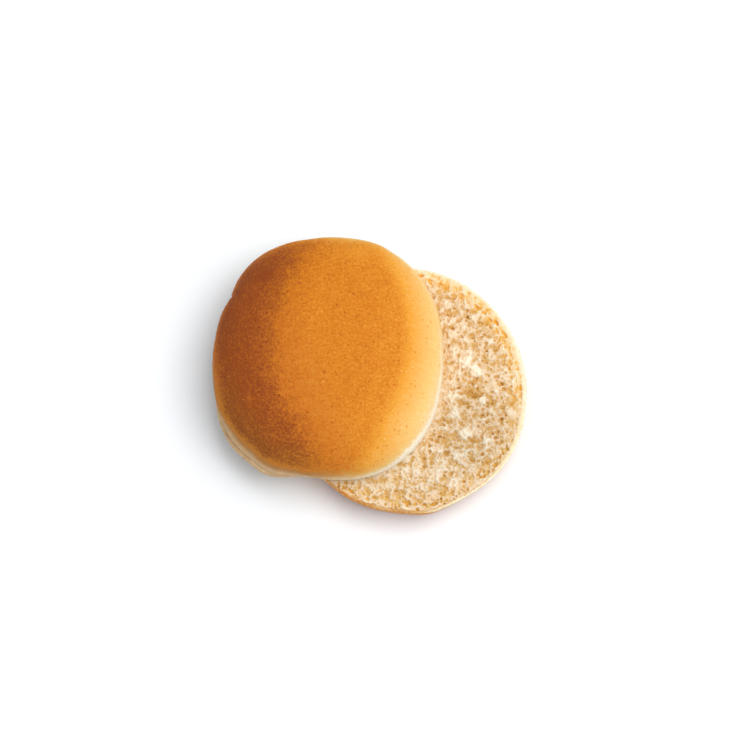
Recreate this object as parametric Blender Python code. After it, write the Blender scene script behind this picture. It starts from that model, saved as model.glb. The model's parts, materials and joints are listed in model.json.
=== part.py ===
"""A soft round bun cut level in two: the domed crown lies, cut face down, on the cut face of the heel.

The crown is set off to one side, so that it overhangs the heel and leaves a crescent of crumb bare.
Both halves are turned from a half section and then pushed out of round.
"""

import math

import bmesh
import bpy
from mathutils import Vector

# Driving dimensions, in metres
HEEL_RADIUS = 0.0519            # mean radius of the heel at its cut face
HEEL_HEIGHT = 0.0165
HEEL_CORNER = 0.0068            # height and depth of the rounding between base and wall
HEEL_TUCK = 0.0012              # how far the wall leans in from the cut face to that rounding
CROWN_RADIUS = 0.0509           # mean radius of the crown at its widest level
CROWN_WALL = 0.0080             # height of that level above the cut face
CROWN_RISE = 0.0215             # rise of the dome above that level
CROWN_TUCK = 0.0012             # how far the wall leans in below that level
CROWN_OFFSET = Vector((-0.0315, 0.0114))    # crown's middle seen from the heel's middle
REST_GAP = 0.0003               # between the two cut faces
SAG = 0.0018                    # how far the crown's furthest overhang bends down
DOME_POWER = 2.35               # 2 is a ball, higher is flatter on top with rounder shoulders

# Skirt: the crown's wall spreads outwards at one side, with a crease running round it
SKIRT_SPREAD = 0.0048
SKIRT_START = (192, 224)        # directions in degrees between which it grows
SKIRT_END = (240, 262)          # and between which it dies away
CREASE_HEIGHT = 0.0036
CREASE_DEPTH = 0.0009
CREASE_WIDTH = 0.0011

# Outlines: (waves round the edge, height as a share of the radius, direction of the first crest)
HEEL_WAVES = ((2, 0.012, 106), (3, 0.006, 306), (4, 0.005, 0))
CROWN_WAVES = ((2, 0.0366, 93.8), (3, 0.0115, 69.5), (4, 0.0184, 36.2))

# Swellings and dents round each half: (direction, half width in degrees, height in metres)
CROWN_LUMPS = ((68, 9, 0.0009), (97, 12, -0.0006), (126, 12, 0.0009), (149, 4, -0.0011),
               (206, 6, 0.0006), (242, 7, 0.0011))
HEEL_LUMPS = ((248, 12, 0.0006), (280, 8, 0.0012), (325, 14, 0.0009))

# Fineness of the turned bodies
SEGMENTS = 84
DOME_STEPS = 15
WALL_STEPS = 7
CORNER_STEPS = 5
CUT_STEPS = 6
WELD = 0.00001

# Looks: colour (linear), roughness
CRUST_LOOK = ((0.58, 0.20, 0.035), 0.45)
CRUMB_LOOK = ((0.82, 0.62, 0.36), 0.9)


def ease(share):
    """Smooth step from 0 to 1."""
    share = min(max(share, 0.0), 1.0)
    return share * share * (3 - 2 * share)


def bell(distance, half_width):
    """Bell curve, 1 at no distance."""
    return math.exp(-(distance / half_width) ** 2)


def turn_between(angle, direction):
    """Smallest angle in degrees between two directions."""
    return abs((angle - direction + 180) % 360 - 180)


def swelling(angle, lumps):
    """Total height of the swellings and dents in this direction."""
    return sum(height * bell(turn_between(angle, direction), half_width)
               for direction, half_width, height in lumps)


def out_of_round(angle, waves):
    """Share by which an outline with these waves departs from its mean radius."""
    return sum(height * math.cos(math.radians(count * (angle - crest)))
               for count, height, crest in waves)


def skirt_share(angle):
    """1 where the crown's skirt is full, 0 where there is none."""
    grown = ease((angle - SKIRT_START[0]) / (SKIRT_START[1] - SKIRT_START[0]))
    gone = ease((angle - SKIRT_END[0]) / (SKIRT_END[1] - SKIRT_END[0]))
    return grown * (1 - gone)


def turned(name, section):
    """Turn a half section, given as (radius, height) points, into a closed round body."""
    body = bmesh.new()
    line = [body.verts.new((radius, 0, height)) for radius, height in section]
    edges = [body.edges.new(pair) for pair in zip(line, line[1:])]
    bmesh.ops.spin(body, geom=line + edges, cent=(0, 0, 0), axis=(0, 0, 1),
                   angle=math.tau, steps=SEGMENTS, use_merge=True)
    bmesh.ops.remove_doubles(body, verts=body.verts, dist=WELD)
    bmesh.ops.recalc_face_normals(body, faces=body.faces)
    mesh = bpy.data.meshes.new(name)
    body.to_mesh(mesh)
    body.free()
    return bpy.data.objects.new(name, mesh)


def pushed(half, new_radius):
    """Move each point of a turned half in or out, to the radius that new_radius gives."""
    for point in half.data.vertices:
        radius = math.hypot(point.co.x, point.co.y)
        if radius > WELD:
            angle = math.degrees(math.atan2(point.co.y, point.co.x)) % 360
            scale = new_radius(radius, angle, point.co.z) / radius
            point.co.x *= scale
            point.co.y *= scale


def crown_section():
    """From the dome's pole over the shoulder and down the wall to the middle of the cut face."""
    section = []
    for step in range(DOME_STEPS + 1):
        across = math.sin(math.pi / 2 * step / DOME_STEPS)
        rise = (1 - across ** DOME_POWER) ** (1 / DOME_POWER)
        section.append((CROWN_RADIUS * across, CROWN_WALL + CROWN_RISE * rise))
    for step in range(1, WALL_STEPS + 1):
        down = step / WALL_STEPS
        section.append((CROWN_RADIUS - CROWN_TUCK * down ** 2, CROWN_WALL * (1 - down)))
    for step in range(1, CUT_STEPS + 1):
        section.append(((CROWN_RADIUS - CROWN_TUCK) * (1 - step / CUT_STEPS), 0))
    return section


def crown_radius(radius, angle, height):
    """The crown's outline, with its swellings, its skirt and the crease in the skirt."""
    share = radius / CROWN_RADIUS
    down = 1 - height / CROWN_WALL
    skirt = SKIRT_SPREAD * ease(down * 1.25)
    crease = CREASE_DEPTH * bell(height - CREASE_HEIGHT, CREASE_WIDTH)
    return (radius * (1 + out_of_round(angle, CROWN_WAVES)) + swelling(angle, CROWN_LUMPS) * share ** 4
            + (skirt - crease) * share ** 4 * skirt_share(angle))


def sagged(crown):
    """Bend down what overhangs the heel, more the further out it is."""
    furthest = CROWN_OFFSET.length + CROWN_RADIUS - HEEL_RADIUS
    for point in crown.data.vertices:
        overhang = (point.co.xy + CROWN_OFFSET).length - HEEL_RADIUS
        if overhang > 0:
            point.co.z -= SAG * (overhang / furthest) ** 2


def heel_section():
    """From the middle of the cut face out to the rim, down the wall and round to the base."""
    section = [(0, HEEL_HEIGHT)]
    for step in range(WALL_STEPS):
        down = step / WALL_STEPS
        section.append((HEEL_RADIUS - HEEL_TUCK * down ** 2,
                        HEEL_HEIGHT - (HEEL_HEIGHT - HEEL_CORNER) * down))
    for step in range(CORNER_STEPS + 1):
        turn = math.pi / 2 * step / CORNER_STEPS
        section.append((HEEL_RADIUS - HEEL_TUCK - HEEL_CORNER * (1 - math.cos(turn)),
                        HEEL_CORNER * (1 - math.sin(turn))))
    return section + [(0, 0)]


def heel_radius(radius, angle, height):
    """The heel's outline, the same at every height."""
    share = radius / HEEL_RADIUS
    return radius * (1 + out_of_round(angle, HEEL_WAVES)) + swelling(angle, HEEL_LUMPS) * share ** 4


def material(name, look):
    """A plain Principled material."""
    colour, roughness = look
    result = bpy.data.materials.new(name)
    result.use_nodes = True
    shader = result.node_tree.nodes["Principled BSDF"]
    shader.inputs["Base Color"].default_value = (*colour, 1)
    shader.inputs["Roughness"].default_value = roughness
    shader.inputs["Metallic"].default_value = 0
    result.diffuse_color = (*colour, 1)
    return result


def finished(half, look_name, look, place, carrier, collection):
    """Shade a half, give it its material, and hang it on the carrier at its place."""
    half.data.shade_smooth()
    half.data.set_sharp_from_angle(angle=math.radians(50))
    half.data.materials.append(material(look_name, look))
    half.location = place
    half.parent = carrier
    collection.objects.link(half)


def stand_at_origin(carrier, halves):
    """Move the carrier so that the middle of the bun's box, at its bottom, is the world's origin."""
    points = [half.location + point.co for half in halves for point in half.data.vertices]
    low = Vector(min(point[axis] for point in points) for axis in range(3))
    high = Vector(max(point[axis] for point in points) for axis in range(3))
    carrier.location = (-(low.x + high.x) / 2, -(low.y + high.y) / 2, -low.z)


def build():
    for old in list(bpy.data.objects):
        bpy.data.objects.remove(old)
    collection = bpy.data.collections.new("split_bun")
    bpy.context.scene.collection.children.link(collection)
    carrier = bpy.data.objects.new("bun", None)
    collection.objects.link(carrier)

    heel = turned("heel", heel_section())
    pushed(heel, heel_radius)
    finished(heel, "pale_crumb", CRUMB_LOOK, Vector((0, 0, 0)), carrier, collection)

    crown = turned("crown", crown_section())
    pushed(crown, crown_radius)
    sagged(crown)
    crown_place = Vector((*CROWN_OFFSET, HEEL_HEIGHT + REST_GAP))
    finished(crown, "golden_crust", CRUST_LOOK, crown_place, carrier, collection)

    stand_at_origin(carrier, (heel, crown))
    bpy.context.view_layer.update()


build()
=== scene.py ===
import json
import math
from collections import namedtuple

import bmesh
import bpy
from bpy.props import FloatProperty, FloatVectorProperty, PointerProperty
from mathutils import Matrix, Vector, noise
from mathutils.bvhtree import BVHTree

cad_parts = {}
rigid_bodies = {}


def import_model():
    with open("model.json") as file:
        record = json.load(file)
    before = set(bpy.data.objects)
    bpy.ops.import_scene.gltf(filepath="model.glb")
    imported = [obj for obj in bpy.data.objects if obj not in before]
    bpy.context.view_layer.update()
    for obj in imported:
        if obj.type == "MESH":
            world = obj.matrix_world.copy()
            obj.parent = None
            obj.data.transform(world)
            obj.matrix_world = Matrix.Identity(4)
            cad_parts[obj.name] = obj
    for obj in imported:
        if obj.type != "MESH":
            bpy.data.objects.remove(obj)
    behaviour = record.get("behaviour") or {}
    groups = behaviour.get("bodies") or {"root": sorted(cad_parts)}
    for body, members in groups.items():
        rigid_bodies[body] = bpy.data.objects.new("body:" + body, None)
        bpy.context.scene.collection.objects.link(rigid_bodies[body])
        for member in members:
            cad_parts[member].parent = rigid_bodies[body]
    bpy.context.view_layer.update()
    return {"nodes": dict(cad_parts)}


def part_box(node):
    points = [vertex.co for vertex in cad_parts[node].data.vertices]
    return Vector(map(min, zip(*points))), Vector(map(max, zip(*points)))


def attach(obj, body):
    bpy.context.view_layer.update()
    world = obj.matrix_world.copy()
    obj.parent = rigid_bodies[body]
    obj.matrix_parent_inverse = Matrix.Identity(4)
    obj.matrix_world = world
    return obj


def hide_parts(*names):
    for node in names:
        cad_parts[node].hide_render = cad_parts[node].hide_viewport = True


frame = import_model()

bl_info = {
    "name": "Split Round Bun",
    "version": (1, 0, 0),
    "blender": (4, 5, 0),
    "location": "3D View > Sidebar > Bun",
    "description": "Browned crust and open crumb for a soft round bun cut level in two",
    "category": "Add Mesh",
}

MM = 0.001                      # one millimetre in the scene's metres
WELD = 0.00001                  # points closer than this become one
CUT_RADIUS = 50.5 * MM          # about the radius of both cut faces
REST_GAP = 0.3 * MM             # between the two cut faces
LOOK_OUT = 8 * MM               # how far off the other half still covers a place

# A half of the bun: its CAD node, the middle and the level of its cut face, and which way that
# face looks, 1 for up and -1 for down
Half = namedtuple("Half", "node middle cut facing")
HEEL = Half("heel", Vector((14.53, -4.96, 0)) * MM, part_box("heel")[1].z, 1)
CROWN = Half("crown", Vector((-16.97, 6.44, 0)) * MM, HEEL.cut + REST_GAP, -1)


# Shapes, in millimetres and degrees

# Torn lumps (+) and hollows (-) of the heel's crumb: (x, y, half width, height), from the middle
# of its cut face
TORN_MARKS = (
    (20.9, 23.5, 1.8, 1.0), (24.7, 28.0, 1.5, 0.7), (25.7, 12.3, 2.4, 1.2),
    (30.1, 7.9, 2.2, 1.3), (20.7, -2.7, 2.2, 0.9), (32.9, -4.7, 1.8, 1.1),
    (38.1, -1.4, 1.4, 0.7), (20.9, -11.0, 2.1, 1.1), (25.2, -19.5, 2.0, 1.0),
    (33.7, -21.8, 1.5, 0.8), (22.4, -28.9, 1.8, 0.8), (15.3, -27.1, 1.6, 0.6),
    (28.3, -1.6, 2.4, -0.9), (35.8, -5.5, 1.6, -0.8), (16.5, -19.3, 1.8, -0.8),
    (21.4, -24.2, 1.5, -0.7),
)
FRAY_SEED = 3                   # any number but 0, with which the lumps would differ each run

# Creases round the crown's wall: (height, first and last direction, half width, depth)
CREASES = (
    (19.3, -152, -106, 0.9, 0.75),
    (26.6, -110, -78, 0.6, 0.28),
    (31.2, -106, -84, 0.5, 0.16),
)

# Ridges (+) and grooves (-) in the crown's skin: (from, to, half width, height), with x and y
# from the middle of its cut face and z from the floor
SKIN_LINES = (
    ((-40.4, 25.5, 36.0), (-41.7, 26.1, 22.0), 1.5, -0.6),
    ((-38.8, 24.9, 35.0), (-34.6, 29.2, 36.6), 0.8, 0.30),
    ((-37.8, 24.1, 35.6), (-33.8, 27.9, 37.6), 0.9, -0.22),
    ((-18.1, 48.0, 30.0), (-17.6, 46.7, 34.5), 0.9, -0.45),
    ((16.4, -8.3, 45.6), (19.0, -12.9, 45.0), 0.7, -0.10),
)


# Browning, in millimetres and degrees

# Places on the crown, measured as the lines in its skin are. The crown is brown far from the
# first and golden far from the second.
BROWN_FAR_FROM = (37.9, 0.9, 0.0)
GOLDEN_FAR_FROM = (-34.1, 5.7, 0.0)
DARK_FOLD = (-26.8, 31.6, 38.9)
DARK_PATCH = (-12.5, -34.8, 0.0)

# Stretches of the crown's wall, as directions from its middle: (start, full, fading, end)
PALE_BAND = (-172.0, -150.0, -106.0, -92.0)     # pale and wrinkled below the crease
BROWNS_SOONER = (-168.0, -140.0, -108.0, -92.0)
OLIVE_BROWN = (-172.0, -150.0, -108.0, -82.0)
LOW_CREAM = (-112.0, -98.0, -80.0, -62.0)       # the cream ends lower than beside it
# painted light: here the wall's cream is painted whiter, as if well lit
PAINTED_LIGHT_TURNS = (-80.0, -55.0, -30.0, -10.0)
NO_CREAM = (-25.0, 20.0, 50.0, 80.0)            # straw right down to the cut

# A place on the heel, from the middle of the whole bun, round which the crumb is duller: painted
# shade near the crown, and darker crumb
SHADE_AND_DARKER_CRUMB_PATCH = (42.0, -22.0, 0.0)


# Colours that aren't settings, all linear

# A duller wall, from pale to brown: (browning, colour)
DULLER_RAMP = (
    (0.0, (0.66, 0.47, 0.28)), (0.22, (0.60, 0.385, 0.20)), (0.36, (0.53, 0.29, 0.12)),
    (0.50, (0.48, 0.208, 0.052)), (0.70, (0.60, 0.176, 0.018)),
)
# painted light on the lower right of the crown's wall
PAINTED_LIGHT_CREAM = (0.97, 0.91, 0.76)
TO_OLIVE = (1.05, 1.28, 1.20)                   # factors
LESS_YELLOW = (0.97, 1.02, 1.09)                # factors

# Crumb beside the crust: at the back, along the front. Its hollow colours are darker as painted
# shade in the cells
RIM_WALL = ((0.88, 0.67, 0.39), (0.76, 0.58, 0.39))
RIM_HOLLOW = ((0.78, 0.42, 0.08), (0.71, 0.47, 0.19))
RIM_DEEP = ((0.80, 0.38, 0.03), (0.66, 0.38, 0.07))

# Outermost edge of the crumb: towards the front, at the back
EDGE = ((0.85, 0.70, 0.46), (0.90, 0.78, 0.57))
EDGE_SPECKLE = (0.84, 0.64, 0.38)
FOREMOST_EDGE = ((0.66, 0.44, 0.22), (0.82, 0.62, 0.38))    # plain, speckle
# a dark line at the front's left: browned edge and painted shade of the groove by the crust
BROWN_EDGE_AND_GROOVE_SHADE = (0.54, 0.29, 0.10)

SKY_TINT = (0.955, 0.995, 1.045)
LAMP_TINT = (1.03, 1.0, 0.965)


# Settings

class CrustSettings(bpy.types.PropertyGroup):
    """Sizes and colours of the browned crust."""

    thickness: FloatProperty(
        name="Thickness", description="Width of the crust's edge on a cut face",
        default=1.0 * MM, unit="LENGTH")
    recess: FloatProperty(
        name="Recess", description="Depth of the hollow in each half that holds its crumb",
        default=3.0 * MM, unit="LENGTH")
    swell: FloatProperty(
        name="Swell", description="Height of the skin's slow rises and dips",
        default=0.28 * MM, unit="LENGTH")
    fineness: FloatProperty(
        name="Fineness", description="Size of the skin's faces",
        default=0.47 * MM, unit="LENGTH")
    brown: FloatVectorProperty(
        name="Brown", description="Colour where the crust has baked longest",
        default=(0.280, 0.063, 0.0135), subtype="COLOR", size=3, min=0, max=1)
    orange: FloatVectorProperty(
        name="Orange", description="Colour of most of the crown",
        default=(0.614, 0.188, 0.0145), subtype="COLOR", size=3, min=0, max=1)
    golden: FloatVectorProperty(
        name="Golden", description="Colour where the crust has only just taken colour",
        default=(0.775, 0.330, 0.040), subtype="COLOR", size=3, min=0, max=1)
    straw: FloatVectorProperty(
        name="Straw", description="Colour between golden crust and pale wall",
        default=(0.84, 0.54, 0.19), subtype="COLOR", size=3, min=0, max=1)
    cream: FloatVectorProperty(
        name="Cream", description="Colour of the side wall that stayed pale",
        default=(0.93, 0.82, 0.60), subtype="COLOR", size=3, min=0, max=1)


class CrumbSettings(bpy.types.PropertyGroup):
    """Sizes and colours of the open crumb. Its colours by height are painted light on what stands
    up and painted shade down in the cells.
    """

    cell: FloatProperty(
        name="Cell", description="Width of the largest common cells",
        default=1.75 * MM, unit="LENGTH")
    depth: FloatProperty(
        name="Depth", description="How deep the cells are, as a share of a ball",
        default=0.9, subtype="FACTOR", min=0, max=1)
    fineness: FloatProperty(
        name="Heel Fineness",
        description="Size of the faces of the heel's crumb before its bare part is divided",
        default=0.66 * MM, unit="LENGTH")
    crown_fineness: FloatProperty(
        name="Crown Fineness", description="Size of the faces of the crown's crumb",
        default=0.38 * MM, unit="LENGTH")
    # colours by height: painted light on what stands up, painted shade down in the cells
    tip: FloatVectorProperty(
        name="Torn Tips", description="Colour of what stands up highest",
        default=(0.90, 0.82, 0.655), subtype="COLOR", size=3, min=0, max=1)
    torn: FloatVectorProperty(
        name="Torn Lumps", description="Colour of what stands up a little",
        default=(0.86, 0.735, 0.54), subtype="COLOR", size=3, min=0, max=1)
    wall: FloatVectorProperty(
        name="Cell Walls", description="Colour of the thin walls between cells",
        default=(0.77, 0.585, 0.385), subtype="COLOR", size=3, min=0, max=1)
    hollow: FloatVectorProperty(
        name="Cell Hollows", description="Colour inside the cells",
        default=(0.64, 0.38, 0.13), subtype="COLOR", size=3, min=0, max=1)
    deep: FloatVectorProperty(
        name="Deepest Hollows", description="Colour at the bottom of the deepest cells",
        default=(0.48, 0.22, 0.035), subtype="COLOR", size=3, min=0, max=1)


class StageSettings(bpy.types.PropertyGroup):
    """Floor, light and camera."""

    floor: FloatVectorProperty(
        name="Floor", description="Colour of the floor",
        default=(0.88, 0.912, 0.94), subtype="COLOR", size=3, min=0, max=1)
    floor_radius: FloatProperty(
        name="Floor Radius", description="Radius of the floor", default=3.0, unit="LENGTH")
    sky: FloatProperty(name="Sky", description="Strength of the even light all round", default=0.57)
    lamp: FloatProperty(
        name="Lamp", description="Power of the large soft lamp", default=42.0, unit="POWER")
    lamp_size: FloatProperty(
        name="Lamp Size", description="Side of the lamp's square", default=1.7, unit="LENGTH")
    lamp_place: FloatVectorProperty(
        name="Lamp Place", description="Middle of the lamp",
        default=(0.84, 0.03, 2.12), subtype="TRANSLATION", size=3)
    lamp_aim: FloatVectorProperty(
        name="Lamp Aim", description="Place that the lamp faces",
        default=(0, 0, 0.02), subtype="TRANSLATION", size=3)
    aim: FloatVectorProperty(
        name="Aim", description="Place in the middle of the picture",
        default=(0.00213, 0.00094, HEEL.cut), subtype="TRANSLATION", size=3)
    elevation: FloatProperty(
        name="Elevation", description="The camera's angle above the floor",
        default=math.radians(75.7), subtype="ANGLE")
    distance: FloatProperty(
        name="Distance", description="From the camera to its aim", default=1.10, unit="LENGTH")
    lens: FloatProperty(name="Lens", description="Focal length", default=125.7, unit="CAMERA")


# Modelling helpers

def active_only(piece):
    """Select this piece alone."""
    if bpy.context.object and bpy.context.object.mode != "OBJECT":
        bpy.ops.object.mode_set(mode="OBJECT")
    bpy.ops.object.select_all(action="DESELECT")
    piece.select_set(True)
    bpy.context.view_layer.objects.active = piece


def node_copy(node, name):
    """A piece with the merged mesh of a CAD node, left in edit mode."""
    piece = bpy.data.objects.new(name, frame["nodes"][node].data.copy())
    piece.data.name = name
    piece.data.materials.clear()
    bpy.context.scene.collection.objects.link(piece)
    active_only(piece)
    bpy.ops.object.mode_set(mode="EDIT")
    bpy.ops.mesh.reveal()
    bpy.ops.mesh.select_all(action="SELECT")
    bpy.ops.mesh.remove_doubles(threshold=WELD)
    bpy.ops.mesh.customdata_custom_splitnormals_clear()
    bpy.ops.mesh.tris_convert_to_quads(face_threshold=math.pi, shape_threshold=math.pi)
    bpy.ops.mesh.mark_sharp(clear=True)
    return piece


def facing_out():
    """Turn all faces outwards, and leave edit mode."""
    bpy.ops.mesh.select_all(action="SELECT")
    bpy.ops.mesh.normals_make_consistent(inside=False)
    bpy.ops.object.mode_set(mode="OBJECT")


def pick_faces(piece, wanted):
    """In edit mode, select only the faces for whose middle and normal wanted holds."""
    bpy.ops.mesh.select_mode(type="FACE")
    bpy.ops.mesh.select_all(action="DESELECT")
    form = bmesh.from_edit_mesh(piece.data)
    for face in form.faces:
        if wanted(face.calc_center_median(), face.normal):
            face.select_set(True)
    bmesh.update_edit_mesh(piece.data)


def pick_open_edges():
    """In edit mode, select only the edges round a hole."""
    bpy.ops.mesh.select_mode(type="EDGE")
    bpy.ops.mesh.select_all(action="DESELECT")
    bpy.ops.mesh.select_non_manifold()


def on_cut_face(half, place, normal):
    """Whether a face of the CAD node, by its middle and normal, belongs to the cut face."""
    return normal.z * half.facing > 0.7 and abs(place.z - half.cut) < 3 * MM


def moved_in(half, inwards):
    """Move what is selected in from the half's outline by about this much."""
    share = 1 - inwards / CUT_RADIUS
    bpy.ops.transform.resize(value=(share, share, 1), center_override=(*half.middle.xy, half.cut))


def modified(piece, kind, **settings):
    """Add a modifier to the piece and apply it."""
    active_only(piece)
    modifier = piece.modifiers.new(kind.title(), kind)
    for name, value in settings.items():
        setattr(modifier, name, value)
    bpy.ops.object.modifier_apply(modifier=modifier.name)


def capped_flat(piece, wanted):
    """Swap the faces that wanted picks for one flat face."""
    bpy.ops.object.mode_set(mode="EDIT")
    pick_faces(piece, wanted)
    # drops single faces that touch the others only at a corner
    bpy.ops.mesh.select_less()
    bpy.ops.mesh.select_more()
    bpy.ops.mesh.delete(type="FACE")
    pick_open_edges()
    bpy.ops.mesh.edge_face_add()
    facing_out()


def finished(piece, node, look):
    """Give the piece its material, and tie it to the frame."""
    active_only(piece)
    bpy.ops.object.shade_smooth()
    piece.data.materials.append(look)
    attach(piece, "root")
    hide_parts(node)


# Node helpers. All patterns are worked out in millimetres.

class Graph:
    """Adds nodes to a node tree and joins them."""

    def __init__(self, tree):
        self.tree = tree
        tree.nodes.clear()

    def node(self, kind, *values, inputs=None, **settings):
        """A new node with these settings, its sockets fed in order or by name."""
        node = self.tree.nodes.new(kind)
        for name, value in settings.items():
            setattr(node, name, value)
        for socket, value in zip(node.inputs, values):
            self.feed(socket, value)
        for name, value in (inputs or {}).items():
            self.feed(node.inputs[name], value)
        return node

    def feed(self, socket, value):
        """Link a socket to another, or give it a plain value."""
        if isinstance(value, bpy.types.NodeSocket):
            self.tree.links.new(value, socket)
        else:
            socket.default_value = value

    def math(self, operation, *values):
        return self.node("ShaderNodeMath", *values, operation=operation).outputs[0]

    def total(self, first, *others):
        """Sum of numbers."""
        for other in others:
            first = self.math("ADD", first, other)
        return first

    def times(self, first, *others):
        """Product of numbers."""
        for other in others:
            first = self.math("MULTIPLY", first, other)
        return first

    def moved(self, value, push, factor):
        """A number plus a push times a factor."""
        return self.math("MULTIPLY_ADD", push, factor, value)

    def between(self, share, first, second):
        """A number between two others."""
        return self.moved(first, share, self.math("SUBTRACT", second, first))

    def step(self, value, low, high, at_low=0.0, at_high=1.0):
        """Smooth step between two values."""
        return self.node("ShaderNodeMapRange", value, low, high, at_low, at_high,
                         interpolation_type="SMOOTHSTEP").outputs[0]

    def within(self, value, start, full, fading, end):
        """1 from full to fading, and 0 before start and after end."""
        return self.times(self.step(value, start, full), self.step(value, end, fading))

    def vector(self, operation, *values):
        node = self.node("ShaderNodeVectorMath", *values, operation=operation)
        number = operation in ("LENGTH", "DISTANCE", "DOT_PRODUCT")
        return node.outputs["Value" if number else "Vector"]

    def scaled(self, vector, factor):
        """The vector times a number."""
        return self.node("ShaderNodeVectorMath", vector, operation="SCALE",
                         inputs={"Scale": factor}).outputs["Vector"]

    def parts(self, vector):
        return self.node("ShaderNodeSeparateXYZ", vector).outputs

    def joined(self, *values):
        return self.node("ShaderNodeCombineXYZ", *values).outputs[0]

    def from_line(self, vector, first, last):
        """Distance from a straight line between two places."""
        first, last = Vector(first), Vector(last)
        along = last - first
        share = self.vector("DOT_PRODUCT", self.vector("SUBTRACT", vector, tuple(first)),
                            tuple(along / along.length_squared))
        share = self.node("ShaderNodeClamp", share).outputs[0]
        foot = self.vector("ADD", self.scaled(tuple(along), share), tuple(first))
        return self.vector("DISTANCE", vector, foot)

    def noise(self, vector, size, detail=2.0, roughness=0.5):
        """Noise from about 0 to 1 with features of this size."""
        return self.node("ShaderNodeTexNoise", noise_dimensions="3D", inputs={
            "Vector": vector, "Scale": 1 / size, "Detail": detail, "Roughness": roughness})

    def uneven(self, vector, size, detail=2.0, roughness=0.5):
        """Noise from about -1 to 1."""
        return self.moved(-1.0, self.noise(vector, size, detail, roughness).outputs[0], 2.0)

    def warped(self, vector, size, strength):
        """The vector, pushed about by noise."""
        push = self.noise(vector, size, 1.0).outputs["Color"]
        push = self.vector("SUBTRACT", push, (0.5, 0.5, 0.5))
        return self.vector("ADD", vector, self.scaled(push, strength))

    def pores(self, vector, size, least, most):
        """Depth of round hollows about this size apart, with radii between two shares of it."""
        cells = self.node("ShaderNodeTexVoronoi", voronoi_dimensions="3D", feature="F1",
                          inputs={"Vector": vector, "Scale": 1 / size})
        draw = self.parts(cells.outputs["Color"])[0]
        radius = self.moved(least * size, draw, (most - least) * size)
        away = self.times(cells.outputs["Distance"], size)
        left = self.math("SUBTRACT", self.times(radius, radius), self.times(away, away))
        return self.math("SQRT", self.math("MAXIMUM", left, 0.0))

    def ridged(self, vector, size):
        """0 along thin winding walls about this size apart, rising to about 1 between them."""
        return self.step(self.math("ABSOLUTE", self.uneven(vector, size, 1.0)), 0.0, 0.34)

    def attribute(self, name):
        """A number kept on the piece's points."""
        if self.tree.type == "GEOMETRY":
            return self.node("GeometryNodeInputNamedAttribute", data_type="FLOAT",
                             inputs={"Name": name}).outputs["Attribute"]
        return self.node("ShaderNodeAttribute", attribute_name=name).outputs["Fac"]

    def tint(self, share, first, second):
        """A colour between two others."""
        node = self.node("ShaderNodeMix", data_type="RGBA")
        for place, value in ((0, share), (6, first), (7, second)):
            if isinstance(value, tuple) or hasattr(value, "r"):
                value = (*value, 1)
            self.feed(node.inputs[place], value)
        return node.outputs[2]

    def ramp(self, share, stops):
        """A colour from a row of (place, colour) stops."""
        node = self.node("ShaderNodeValToRGB", share)
        row = node.color_ramp.elements
        while len(row) < len(stops):
            row.new(1)
        for mark, (place, colour) in zip(row, stops):
            mark.position = place
            mark.color = (*colour, 1)
        return node.outputs[0]


def relief(piece, name, shape):
    """Move the piece's points by a node modifier, and apply it.

    shape gets the graph, the points' places in millimetres and their normals, and gives their
    moves in millimetres and a share to keep in the attribute "hollow".
    """
    tree = bpy.data.node_groups.new(name, "GeometryNodeTree")
    for way in ("INPUT", "OUTPUT"):
        tree.interface.new_socket("Geometry", in_out=way, socket_type="NodeSocketGeometry")
    graph = Graph(tree)
    given = graph.node("NodeGroupInput").outputs[0]
    place = graph.scaled(graph.node("GeometryNodeInputPosition").outputs[0], 1 / MM)
    normal = graph.node("GeometryNodeInputNormal").outputs[0]
    move, hollow = shape(graph, place, normal)
    kept = graph.node("GeometryNodeStoreNamedAttribute", data_type="FLOAT", domain="POINT",
                      inputs={"Geometry": given, "Name": "hollow", "Value": hollow})
    shifted = graph.node("GeometryNodeSetPosition", inputs={
        "Geometry": kept.outputs[0], "Offset": graph.scaled(move, MM)})
    graph.node("NodeGroupOutput", shifted.outputs[0])
    modified(piece, "NODES", node_group=tree)


def new_look(name, roughness, specular):
    """A material's graph and Principled shader, and places in millimetres to work from."""
    look = bpy.data.materials.new(name)
    look.use_nodes = True
    graph = Graph(look.node_tree)
    shader = graph.node("ShaderNodeBsdfPrincipled", inputs={
        "Roughness": roughness, "Specular IOR Level": specular})
    graph.node("ShaderNodeOutputMaterial", shader.outputs[0])
    place = graph.scaled(graph.node("ShaderNodeTexCoord").outputs["Object"], 1 / MM)
    return look, graph, shader, place


def painted(graph, shader, colour, height):
    """Give the shader its colour, and a bump from a height in millimetres."""
    graph.feed(shader.inputs["Base Color"], colour)
    bump = graph.node("ShaderNodeBump", inputs={"Strength": 1.0, "Distance": MM, "Height": height})
    graph.feed(shader.inputs["Normal"], bump.outputs[0])


# Crusts

def baked(graph, browning, duller_share):
    """Crust colour for a browning from 0, cream, to 1, brown.

    Where the share of the duller ramp is 1, all that is paler than orange is duller.
    """
    settings = bpy.context.scene.bun_crust
    brown = (1.0, settings.brown)
    fresh = graph.ramp(browning, (
        (0.0, settings.cream), (0.22, settings.straw), (0.46, settings.golden),
        (0.68, settings.orange), brown))
    return graph.tint(duller_share, fresh, graph.ramp(browning, (*DULLER_RAMP, brown)))


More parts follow.
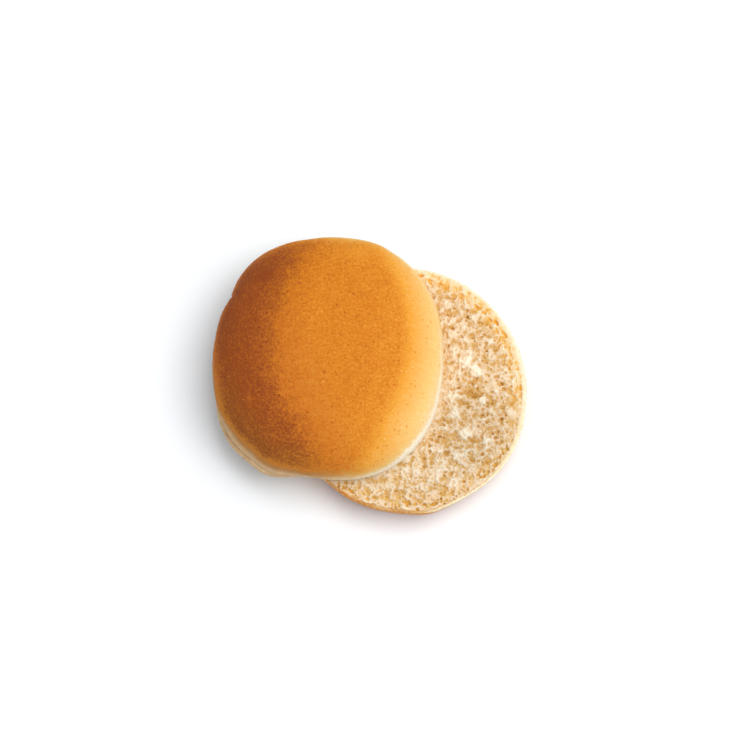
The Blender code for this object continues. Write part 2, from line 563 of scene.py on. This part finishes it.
def crown_folds(graph, place):
    """Height of the creases, ridges and grooves of the crown's skin."""
    place = graph.vector("SUBTRACT", place, tuple(CROWN.middle / MM))
    x, y, z = graph.parts(graph.warped(place, 6.0, 1.2))
    turn = graph.math("DEGREES", graph.math("ARCTAN2", y, x))
    height = 0.0
    for level, first, last, wide, deep in CREASES:
        near = graph.step(graph.math("ABSOLUTE", graph.math("SUBTRACT", z, level)), wide, 0.0)
        share = graph.within(turn, first - 6, first + 8, last - 8, last + 6)
        height = graph.moved(height, graph.times(near, share), -deep)
    for first, last, wide, high in SKIN_LINES:
        near = graph.step(graph.from_line(place, first, last), wide, 0.0)
        height = graph.moved(height, near, high)
    return height


def crown_skin(graph, place, normal):
    """Slow rises and dips of the crown's skin, with its creases."""
    swell = bpy.context.scene.bun_crust.swell / MM
    cut = CROWN.cut / MM
    free = graph.step(graph.parts(normal)[2], -0.5, 0.0)
    calm = graph.step(graph.parts(place)[2], cut - 0.5, cut + 3.0, 0.25, 1.0)
    slow = graph.times(graph.uneven(place, 11.0, 1.0), swell)
    quick = graph.times(graph.uneven(place, 2.4), 0.3 * swell)
    folds = crown_folds(graph, place)
    height = graph.total(graph.times(graph.total(slow, quick), calm), folds)
    return graph.scaled(normal, graph.times(height, free)), folds


def top_browning(graph, place, mottle, grain, ragged):
    """Browning of the crown's top, from brown at the left to golden at the right."""
    x, y, _ = graph.parts(place)
    plan = graph.joined(x, y, 0.0)
    oval = graph.joined(x, graph.times(y, 0.93), 0.0)
    away = graph.total(graph.vector("DISTANCE", oval, BROWN_FAR_FROM), ragged)
    brown = graph.moved(graph.times(graph.step(away, 58.5, 63.5), 0.2),
                        graph.step(away, 44.9, 76.1), 0.8)
    loose = graph.vector("ADD", place, graph.joined(mottle, grain, 0.0))
    dark = graph.total(
        graph.step(graph.vector("DISTANCE", loose, DARK_FOLD), 5.5, 1.5, 0.0, 0.10),
        graph.step(graph.vector("DISTANCE", plan, DARK_PATCH), 11.0, 2.0, 0.0, 0.055))
    away = graph.total(graph.vector("DISTANCE", plan, GOLDEN_FAR_FROM), ragged,
                       graph.step(y, -28.0, -46.0, 0.0, -4.0))
    golden = graph.total(
        graph.step(away, 50.0, 60.0, 0.0, 0.035), graph.step(away, 62.5, 70.0, 0.0, 0.18),
        graph.step(away, 66.0, 86.6, 0.0, 0.334))
    back = graph.times(graph.step(y, 34.0, 44.0, 0.0, -0.07),
                       graph.step(graph.math("ABSOLUTE", x), 24.0, 12.0))
    return graph.total(graph.moved(0.665, brown, 0.323), dark, back, graph.times(golden, -1.0))


def cream_height(graph, x, y, turn):
    """Height to which the crown's wall stays cream, more on the golden side."""
    left = graph.times(graph.step(x, -22.0, -44.0), graph.step(y, -10.0, 12.0))
    return graph.total(
        graph.step(x, -35.8, 10.3, 14.1, 26.3), graph.step(y, -54.0, -37.5, 0.0, 4.3),
        graph.step(y, 30.0, 50.0, 0.0, -2.0), graph.times(graph.within(turn, *LOW_CREAM), -1.8),
        graph.times(left, -3.6))


def crown_look():
    """Egg-washed crust: orange on top, brown on one flank, golden on the other, cream wall."""
    look, graph, shader, place = new_look("crown_crust", 0.55, 0.03)
    place = graph.vector("SUBTRACT", place, tuple(CROWN.middle / MM))
    x, y, z = graph.parts(place)
    plan = graph.joined(x, y, 0.0)
    angle = graph.math("ARCTAN2", y, x)
    turn = graph.math("DEGREES", angle)
    around = graph.times(angle, 40.0)
    outwards = graph.vector("LENGTH", plan)

    # patterns: streaks down the wall, slow mottling, fine grain, dark pits and pale spots
    streaks = graph.joined(around, graph.times(outwards, 0.3), graph.times(z, 0.3))
    streaks = graph.uneven(streaks, 1.7, 2.0, 0.6)
    mottle = graph.uneven(place, 5.0, 3.0, 0.6)
    grain = graph.uneven(place, 1.05, 2.5, 0.9)
    pits = graph.pores(graph.warped(place, 2.0, 1.0), 1.7, -0.12, 0.30)
    spots = graph.pores(graph.vector("ADD", place, (4.4, 1.3, 9.2)), 2.3, -0.16, 0.22)
    ragged = graph.total(graph.times(mottle, 2.0), graph.times(streaks, 1.8),
                         graph.times(grain, 1.5))

    # the top's browning, fading down the wall into cream
    over = graph.math("SUBTRACT", graph.moved(z, ragged, 0.45), cream_height(graph, x, y, turn))
    fade = graph.moved(graph.step(x, -35.0, 30.0, 0.052, 0.077),
                       graph.within(turn, *BROWNS_SOONER), 0.012)
    fade = graph.moved(0.09, over, fade)
    level = graph.math("SMOOTH_MIN", top_browning(graph, place, mottle, grain, ragged), fade, 0.12)

    # the pale band, then how pale the wall may be at all
    # darker and duller towards the crown's left
    duller_share = graph.step(graph.vector("DOT_PRODUCT", plan, (0.85, 0.35, 0.0)), 2.0, -28.0)
    wrinkles = graph.uneven(graph.joined(graph.times(around, 0.12), 0.0, z), 0.9)
    band = graph.step(graph.moved(z, streaks, 0.8), 23.2, 21.2, 0.0, -0.22)
    band = graph.moved(band, wrinkles, 0.10)
    level = graph.moved(level, band, graph.within(turn, *PALE_BAND))
    level = graph.math("MAXIMUM", level, graph.times(duller_share, 0.17))
    level = graph.math("MAXIMUM", level, graph.times(graph.within(turn, *NO_CREAM), 0.2))

    # colour on the cut edge, painted shade in the creases and painted light on the ridges, then
    # pits, spots and grain
    fringe = graph.step(graph.moved(z, mottle, 0.9), 17.4, 16.3, 0.0, 0.25)
    # painted shade: browner down in the creases; painted light: paler on the ridges
    folds = graph.times(graph.attribute("hollow"), graph.step(level, 0.2, 0.55, -0.06, -0.22))
    level = graph.total(level, fringe, folds)
    level = graph.total(
        level, graph.times(grain, graph.step(level, 0.30, 0.65, 0.12, 0.34)),
        graph.times(mottle, 0.06), graph.times(pits, 0.34), graph.times(spots, -0.34))

    colour = baked(graph, level, duller_share)
    # painted light: the cream on the wall's lower right is whiter, as if well lit
    painted_light = graph.times(graph.within(turn, *PAINTED_LIGHT_TURNS), graph.step(level, 0.14, -0.10))
    colour = graph.tint(painted_light, colour, PAINTED_LIGHT_CREAM)
    olive = graph.times(graph.within(turn, *OLIVE_BROWN), graph.step(z, 42.0, 34.0),
                        graph.step(level, 0.46, 0.80))
    colour = graph.tint(olive, colour, graph.vector("MULTIPLY", colour, TO_OLIVE))
    flour = graph.moved(1.0, graph.total(grain, streaks), 0.26)
    floured = graph.times(graph.step(level, 0.62, 0.30), duller_share)
    colour = graph.scaled(colour, graph.between(floured, 1.0, flour))

    painted(graph, shader, colour, graph.total(
        graph.times(grain, 0.13), graph.times(pits, -0.30), graph.times(spots, 0.20)))
    return look


def heel_skin(graph, place, normal):
    """Slow rises and dips of the heel's side, rough at the cut edge."""
    swell = bpy.context.scene.bun_crust.swell / MM
    side = graph.within(graph.parts(normal)[2], -0.98, -0.7, 0.1, 0.7)
    slow = graph.times(graph.uneven(place, 9.0), swell)
    rough = graph.times(graph.uneven(place, 1.8),
                        graph.step(graph.parts(place)[2], 12.5, 15.5, 0.06, 0.45))
    move = graph.math("MINIMUM", graph.total(slow, rough), 0.25)
    return graph.scaled(normal, graph.times(move, side)), 0.0


def heel_look():
    """Crust of the heel: pale at the cut edge, golden down the wall, brown base."""
    look, graph, shader, place = new_look("heel_crust", 0.6, 0.15)
    x, y, z = graph.parts(place)
    grain = graph.uneven(place, 1.2, 2.5, 0.7)
    mottle = graph.uneven(place, 5.0, 3.0)
    streaks = graph.uneven(graph.vector("MULTIPLY", place, (0.4, 0.4, 2.2)), 2.6)

    # the wall browns from higher up at the front, and from lower down at the front's right
    front = graph.times(graph.step(graph.moved(y, mottle, 4.0), -30.0, -46.0),
                        graph.step(graph.moved(x, mottle, 5.0), 39.0, 17.0))
    right = graph.times(graph.step(x, 20.0, 42.0), graph.step(y, -16.0, -34.0))
    height = graph.total(z, graph.times(mottle, 0.8), streaks, graph.times(right, 2.6),
                         graph.moved(1.7, front, -3.4))
    coarse = graph.times(front, graph.step(z, 4.0, 14.0))
    level = graph.total(
        graph.step(height, 16.6, 13.2, 0.03, 0.50), graph.step(height, 10.0, 1.0, 0.0, 0.26),
        graph.times(mottle, graph.step(z, 5.0, 1.0, 0.0, 0.14)),
        graph.times(grain, graph.step(coarse, 0.0, 1.0, 0.30, 0.60)))
    dull = graph.times(graph.step(height, 15.8, 12.8, 0.0, 0.6),
                       graph.step(front, 0.0, 1.0, 1.0, 0.4))

    # a little colour on the cut edge at the front
    ring = graph.times(front, graph.step(z, 15.4, 16.2))
    level = graph.moved(level, ring, graph.step(x, 16.0, -6.0, 0.05, 0.15))
    dull = graph.moved(dull, ring, 0.6)

    painted(graph, shader, baked(graph, level, dull), graph.times(grain, 0.13))
    return look


def crust_of(half, name):
    """A half's crust: its skin, the crust's edge on the cut face, and a recess for the crumb."""
    settings = bpy.context.scene.bun_crust
    piece = node_copy(half.node, name)
    pick_faces(piece, lambda place, normal: on_cut_face(half, place, normal))
    bpy.ops.mesh.delete(type="FACE")
    pick_open_edges()
    bpy.ops.transform.edge_crease(value=0.5)
    bpy.ops.mesh.extrude_edges_move()
    moved_in(half, settings.thickness)
    bpy.ops.mesh.extrude_edges_move(
        TRANSFORM_OT_translate={"value": (0, 0, -half.facing * settings.recess)})
    bpy.ops.mesh.edge_face_add()
    facing_out()
    modified(piece, "SUBSURF", levels=2, render_levels=2)
    modified(piece, "REMESH", mode="VOXEL", voxel_size=settings.fineness)

    # the recess is flat again, and a single face
    reach = (CUT_RADIUS - settings.thickness + 0.3 * MM) * 1.06
    low, high = settings.recess - 1.9 * MM, settings.recess + 1.2 * MM
    capped_flat(piece, lambda place, normal: (
        normal.z * half.facing > 0.6 and (place.xy - half.middle.xy).length < reach
        and low < (half.cut - place.z) * half.facing < high))
    return piece


class BUN_OT_crown_crust(bpy.types.Operator):
    """Make the crown's browned crust"""

    bl_idname = "bun.crown_crust"
    bl_label = "Crown Crust"

    def execute(self, context):
        piece = crust_of(CROWN, "crown_crust")
        relief(piece, "crown_skin", crown_skin)
        finished(piece, "crown", crown_look())
        return {"FINISHED"}


class BUN_OT_heel_crust(bpy.types.Operator):
    """Make the heel's crust"""

    bl_idname = "bun.heel_crust"
    bl_label = "Heel Crust"

    def execute(self, context):
        piece = crust_of(HEEL, "heel_crust")
        relief(piece, "heel_skin", heel_skin)
        finished(piece, "heel", heel_look())
        return {"FINISHED"}


# Crumbs

def eased(value, low, high):
    """Smooth step between two values."""
    share = min(max((value - low) / (high - low), 0), 1)
    return share * share * (3 - 2 * share)


def surface_of(node):
    """The CAD node's surface, to measure from."""
    mesh = frame["nodes"][node].data
    return BVHTree.FromPolygons([point.co for point in mesh.vertices],
                                [face.vertices for face in mesh.polygons])


def torn_height(place):
    """Height of the torn lumps and hollows at this place, in mm from the heel's middle."""
    frayed = noise.noise_vector(place / 1.9) * 1.2 + noise.noise_vector(place / 0.8) * 0.35
    place = place + frayed
    height = 0
    for x, y, wide, high in TORN_MARKS:
        away = math.hypot(place.x - x, place.y - y) / wide
        if away < 1.8:
            height += high * (1 - eased(away, 0.4, 1.8))
    return height


def kept_shares(piece, half):
    """Keep on each point how far it is from the rim in mm, how bare it is, and how it is torn."""
    own, other = surface_of(half.node), surface_of("crown" if half is HEEL else "heel")
    level = half.cut - half.facing * 1.5 * MM
    rims, bares, torns = [], [], []
    noise.seed_set(FRAY_SEED)
    for point in piece.data.vertices:
        place = point.co
        out = Vector((place.x - half.middle.x, place.y - half.middle.y, 0))
        hit = own.ray_cast(Vector((place.x, place.y, level)), out.normalized())
        rims.append(hit[3] / MM if hit[0] else 0)
        covered = other.ray_cast(place, Vector((0, 0, half.facing)), LOOK_OUT)[0]
        near = other.find_nearest(place + Vector((0, 0, half.facing * 1.5 * MM)))[3]
        bares.append(0 if covered else eased(near, 0.3 * MM, 3 * MM))
        torns.append(torn_height((place - half.middle) / MM) if half is HEEL else 0)
    for name, values in (("rim", rims), ("bare", bares), ("torn", torns)):
        piece.data.attributes.new(name, "FLOAT", "POINT").data.foreach_set("value", values)


def crumb_relief(half):
    """Rugged, open crumb of a half's cut face."""
    settings = bpy.context.scene.bun_crumb
    size = settings.cell / MM
    facing = float(half.facing)

    def shape(graph, place, normal):
        rim, bare, torn = (graph.attribute(name) for name in ("rim", "bare", "torn"))
        x, y, z = graph.parts(graph.vector("SUBTRACT", place, tuple(half.middle / MM)))
        loose = graph.warped(place, 2.6, 1.8)

        # torn walls between wide hollows, with round holes here and there
        wide = graph.ridged(loose, size * 1.5)
        small = graph.ridged(graph.vector("ADD", loose, (7.3, 1.9, 4.4)), size * 0.8)
        holes = graph.pores(graph.vector("ADD", loose, (3.1, 8.2, 6.6)), size * 1.15, -0.20, 0.48)
        inner = graph.math("MAXIMUM", graph.moved(graph.times(wide, 0.62), small, 0.34),
                           graph.times(holes, 1.6))

        # round cells that lie along the crust, with specks among them
        along = graph.joined(graph.times(rim, 1.5),
                             graph.times(graph.math("ARCTAN2", y, x), 34.0), z)
        cells = graph.pores(graph.warped(along, 2.6, 1.3), size * 1.3, 0.08, 0.62)
        cells = graph.times(cells, graph.step(rim, 1.3, 2.6, 0.3, 1.25))
        lip = graph.times(graph.step(y, -40.0, -32.0), graph.step(y, 35.0, 8.0, 0.3, 1.0))
        specks = graph.times(graph.pores(loose, size * 0.8, 0.12, 0.66),
                             graph.step(graph.moved(rim, lip, -1.0), 0.4, 1.4, 0.1, 1.0),
                             graph.step(y, -5.0, -35.0, 1.1, 1.7))
        outer = graph.math("MAXIMUM", cells, graph.math(
            "MAXIMUM", specks, graph.times(inner, graph.step(rim, 0.8, 4.5, 0.3, 0.7))))

        # shallower on the torn lumps and under the crown, deeper along the front
        front = graph.times(graph.step(y, -2.0, -26.0), graph.step(rim, 10.0, 5.0))
        depth = graph.times(
            graph.between(graph.step(rim, 6.5, 3.5), inner, outer), settings.depth,
            graph.moved(1.0, graph.step(torn, 0.15, 0.7), -0.5), graph.moved(0.7, bare, 0.3),
            graph.moved(1.0, front, 0.32))

        # the torn face that the cells sink into, more even towards the crust
        coarse = graph.times(graph.uneven(place, 4.2, 1.0), 1.1)
        rugged = graph.times(graph.uneven(loose, 1.9, 1.5), 0.8)
        rough = graph.times(graph.total(coarse, rugged), graph.step(rim, 5.0, 1.5, 1.0, 0.5),
                            graph.moved(1.0, front, -0.4))
        rough = graph.total(rough, graph.times(depth, -1.0), graph.times(torn, 0.8), 0.20)
        ragged_rim = graph.moved(rim, graph.uneven(place, 1.6), 0.5)
        rough = graph.times(rough, graph.step(ragged_rim, 0.35, 0.85))

        # hardly above the cut under the other half, and never through the slab's back
        height = graph.math("MINIMUM", rough, graph.moved(0.02, bare, 2.0))
        height = graph.math("MAXIMUM", height, -2.2)
        face = graph.step(graph.times(graph.parts(normal)[2], facing), 0.3, 0.8)
        up = graph.times(graph.total(height, 0.06), graph.times(face, facing))
        return graph.joined(0.0, 0.0, up), graph.times(rough, -1.0)

    return shape


def crumb_edge(graph, place, rim, colour):
    """The crumb's colour with its outermost edge drawn in, a ragged line by the crust."""
    x, y, _ = graph.parts(place)
    behind = graph.step(y, -45.0, -36.0)        # 0 at the foremost part, 1 behind it
    speckle = graph.step(graph.uneven(place, 1.5, 2.5), -0.1, 0.6)
    edge = graph.tint(graph.step(y, -25.0, -5.0), *EDGE)
    edge = graph.tint(speckle, edge, EDGE_SPECKLE)
    edge = graph.tint(behind, graph.tint(speckle, *FOREMOST_EDGE), edge)
    wider = graph.times(behind, graph.step(y, 30.0, 3.0, 0.2, 1.0))
    ragged = graph.total(graph.moved(rim, graph.uneven(place, 1.6), 0.7),
                         graph.times(wider, -0.9), graph.step(y, -42.0, -50.0, 0.0, -0.45))
    colour = graph.tint(graph.step(ragged, 1.1, 0.4), colour, edge)

    # browned at the front's left, with painted shade of the groove between crust and crumb
    left = graph.times(graph.step(y, -38.0, -52.0), graph.step(x, 29.0, 18.0))
    ragged = graph.moved(rim, graph.uneven(place, 1.3, 2.5), 1.5)
    return graph.tint(graph.times(left, graph.step(ragged, 1.4, 0.7)), colour, BROWN_EDGE_AND_GROOVE_SHADE)


def crumb_look():
    """Cream as painted light where it stands up, tan and ochre as painted shade in the hollows,
    more orange towards the crust.
    """
    settings = bpy.context.scene.bun_crumb
    look, graph, shader, place = new_look("crumb", 0.85, 0.12)
    x, y, _ = graph.parts(place)
    rim = graph.attribute("rim")
    fine = graph.uneven(place, 1.0, 2.5, 0.55)
    mottle = graph.uneven(place, 3.0)
    by_rim = graph.step(rim, 9.0, 2.5)
    front = graph.step(y, 8.0, -26.0)

    # painted light and shade by height, from the torn tips down to the deepest hollows
    stronger = graph.moved(1.0, graph.times(front, graph.step(rim, 9.0, 5.0)), 0.15)
    hollow = graph.total(
        graph.times(graph.attribute("hollow"), stronger), graph.times(fine, 0.34),
        graph.times(mottle, 0.30), graph.moved(0.18, by_rim, -0.02))
    colour = graph.tint(graph.step(hollow, -1.0, -0.35), settings.tip, settings.torn)
    for low, high, inner, at_rim in (
            (-0.45, 0.12, settings.wall, RIM_WALL), (0.10, 0.80, settings.hollow, RIM_HOLLOW),
            (0.75, 1.5, settings.deep, RIM_DEEP)):
        lower = graph.tint(by_rim, inner, graph.tint(front, *at_rim))
        colour = graph.tint(graph.step(hollow, low, high), colour, lower)

    # duller towards the right, partly painted shade near the crown and partly darker crumb; less
    # yellow at the front
    away = graph.vector("DISTANCE", graph.joined(x, y, 0.0), SHADE_AND_DARKER_CRUMB_PATCH)
    colour = graph.scaled(colour, graph.step(away, 24.0, 8.0, 1.0, 0.89))
    plain = graph.times(graph.step(y, -24.0, -36.0), graph.step(rim, 5.0, 9.0))
    colour = graph.tint(plain, colour, graph.vector("MULTIPLY", colour, LESS_YELLOW))

    painted(graph, shader, crumb_edge(graph, place, rim, colour), graph.times(fine, 0.12))
    return look


def lay_flat(piece, half):
    """Give the piece a UV map with its cut face seen straight on, and the rest beside it."""
    layer = piece.data.uv_layers.new(name="OFBake")
    piece.data.uv_layers.active = layer
    wide = 2.12 * CUT_RADIUS
    for face in piece.data.polygons:
        middle = face.center - half.middle
        turn = math.atan2(middle.y, middle.x)
        for corner in face.loop_indices:
            place = piece.data.vertices[piece.data.loops[corner].vertex_index].co - half.middle
            x, y = place.x / wide, place.y / wide
            if face.normal.z * half.facing > 0.12:
                u, v = 0.03 + (0.5 + x) * 0.93, (0.47 + y) * 0.93
            elif face.normal.z * half.facing < -0.7:
                # the back, small in a corner
                u, v = 0.09 + 0.15 * x, 0.09 + 0.15 * y
            else:
                # the side, as a strip along the top
                around = math.atan2(place.y, place.x)
                around += math.tau * round((turn - around) / math.tau)
                u, v = 0.5 + 0.46 * around / math.pi, 0.955 + 0.04 * (place.z / MM % 20) / 20
            layer.data[corner].uv = (u, v)


def crumb_of(half, name):
    """A slab that fills a half's recess, its outer face ready for the cells."""
    crust = bpy.context.scene.bun_crust
    piece = node_copy(half.node, name)
    pick_faces(piece, lambda place, normal: not on_cut_face(half, place, normal))
    bpy.ops.mesh.delete(type="FACE")
    bpy.ops.mesh.select_all(action="SELECT")
    moved_in(half, crust.thickness - 0.65 * MM)
    bpy.ops.mesh.extrude_region_move(
        TRANSFORM_OT_translate={"value": (0, 0, -half.facing * (crust.recess - 0.2 * MM))})
    facing_out()
    return piece


class BUN_OT_heel_crumb(bpy.types.Operator):
    """Make the crumb of the heel's cut face"""

    bl_idname = "bun.heel_crumb"
    bl_label = "Heel Crumb"

    def execute(self, context):
        piece = crumb_of(HEEL, "heel_crumb")
        modified(piece, "REMESH", mode="VOXEL", voxel_size=context.scene.bun_crumb.fineness)
        capped_flat(piece, lambda place, normal: normal.z < -0.8)

        # the bare part, and a little way under the crown, is divided finely
        crown = surface_of("crown")
        bpy.ops.object.mode_set(mode="EDIT")
        pick_faces(piece, lambda place, normal: normal.z > 0.5 and (
            not crown.ray_cast(place, Vector((0, 0, 1)), LOOK_OUT)[0]
            or crown.find_nearest(place + Vector((0, 0, 4 * MM)))[3] < 2.6 * MM))
        bpy.ops.mesh.subdivide(number_cuts=2)
        bpy.ops.object.mode_set(mode="OBJECT")

        kept_shares(piece, HEEL)
        lay_flat(piece, HEEL)
        relief(piece, "heel_cells", crumb_relief(HEEL))
        finished(piece, "heel", crumb_look())
        return {"FINISHED"}


class BUN_OT_crown_crumb(bpy.types.Operator):
    """Make the crumb of the crown's cut face"""

    bl_idname = "bun.crown_crumb"
    bl_label = "Crown Crumb"

    def execute(self, context):
        piece = crumb_of(CROWN, "crown_crumb")
        modified(piece, "REMESH", mode="VOXEL",
                 voxel_size=context.scene.bun_crumb.crown_fineness)
        capped_flat(piece, lambda place, normal: normal.z > 0.8)
        kept_shares(piece, CROWN)
        lay_flat(piece, CROWN)
        relief(piece, "crown_cells", crumb_relief(CROWN))
        finished(piece, "crown", bpy.data.materials.get("crumb") or crumb_look())
        return {"FINISHED"}


# Stage

class BUN_OT_stage(bpy.types.Operator):
    """Lay the floor, light the bun and set up the camera"""

    bl_idname = "bun.stage"
    bl_label = "Stage"

    def execute(self, context):
        scene, settings = context.scene, context.scene.bun_stage

        bpy.ops.object.select_all(action="DESELECT")
        bpy.ops.mesh.primitive_circle_add(
            vertices=96, radius=settings.floor_radius, fill_type="NGON", location=(0, 0, 0))
        floor = context.object
        floor.name = "floor"
        look, graph, shader, _ = new_look("floor", 0.9, 0.1)
        graph.feed(shader.inputs["Base Color"], (*settings.floor, 1))
        floor.data.materials.append(look)

        world = bpy.data.worlds.new("soft_sky")
        world.use_nodes = True
        background = world.node_tree.nodes["Background"]
        background.inputs["Color"].default_value = (*SKY_TINT, 1)
        background.inputs["Strength"].default_value = settings.sky
        scene.world = world

        data = bpy.data.lights.new("key", "AREA")
        data.shape = "SQUARE"
        data.size = settings.lamp_size
        data.energy = settings.lamp
        data.color = LAMP_TINT
        lamp = bpy.data.objects.new("key", data)
        lamp.location = settings.lamp_place
        ahead = Vector(settings.lamp_aim) - Vector(settings.lamp_place)
        lamp.rotation_euler = ahead.to_track_quat("-Z", "Y").to_euler()
        scene.collection.objects.link(lamp)

        back = Vector((0, -math.cos(settings.elevation), math.sin(settings.elevation)))
        data = bpy.data.cameras.new("camera")
        data.lens = settings.lens
        data.clip_end = 20
        camera = bpy.data.objects.new("camera", data)
        camera.location = Vector(settings.aim) + back * settings.distance
        camera.rotation_euler = (math.pi / 2 - settings.elevation, 0, 0)
        scene.collection.objects.link(camera)
        scene.camera = camera
        scene.view_settings.view_transform = "Standard"
        return {"FINISHED"}


class BUN_PT_panel(bpy.types.Panel):
    """Buttons for each group of pieces"""

    bl_idname = "BUN_PT_panel"
    bl_label = "Split Round Bun"
    bl_space_type = "VIEW_3D"
    bl_region_type = "UI"
    bl_category = "Bun"

    def draw(self, context):
        scene = context.scene
        for settings, operators in (
                (scene.bun_crust, (BUN_OT_crown_crust, BUN_OT_heel_crust)),
                (scene.bun_crumb, (BUN_OT_heel_crumb, BUN_OT_crown_crumb)),
                (scene.bun_stage, (BUN_OT_stage,))):
            box = self.layout.box()
            for name in settings.__annotations__:
                box.prop(settings, name)
            for operator in operators:
                box.operator(operator.bl_idname)


CLASSES = (
    CrustSettings, CrumbSettings, StageSettings,
    BUN_OT_crown_crust, BUN_OT_heel_crust, BUN_OT_heel_crumb, BUN_OT_crown_crumb, BUN_OT_stage,
    BUN_PT_panel,
)


def register():
    for kind in CLASSES:
        bpy.utils.register_class(kind)
    bpy.types.Scene.bun_crust = PointerProperty(type=CrustSettings)
    bpy.types.Scene.bun_crumb = PointerProperty(type=CrumbSettings)
    bpy.types.Scene.bun_stage = PointerProperty(type=StageSettings)


def unregister():
    del bpy.types.Scene.bun_stage
    del bpy.types.Scene.bun_crumb
    del bpy.types.Scene.bun_crust
    for kind in reversed(CLASSES):
        bpy.utils.unregister_class(kind)


def main():
    register()
    bpy.ops.bun.crown_crust()
    bpy.ops.bun.heel_crust()
    bpy.ops.bun.heel_crumb()
    bpy.ops.bun.crown_crumb()
    bpy.ops.bun.stage()


if __name__ == "__main__":
    main()
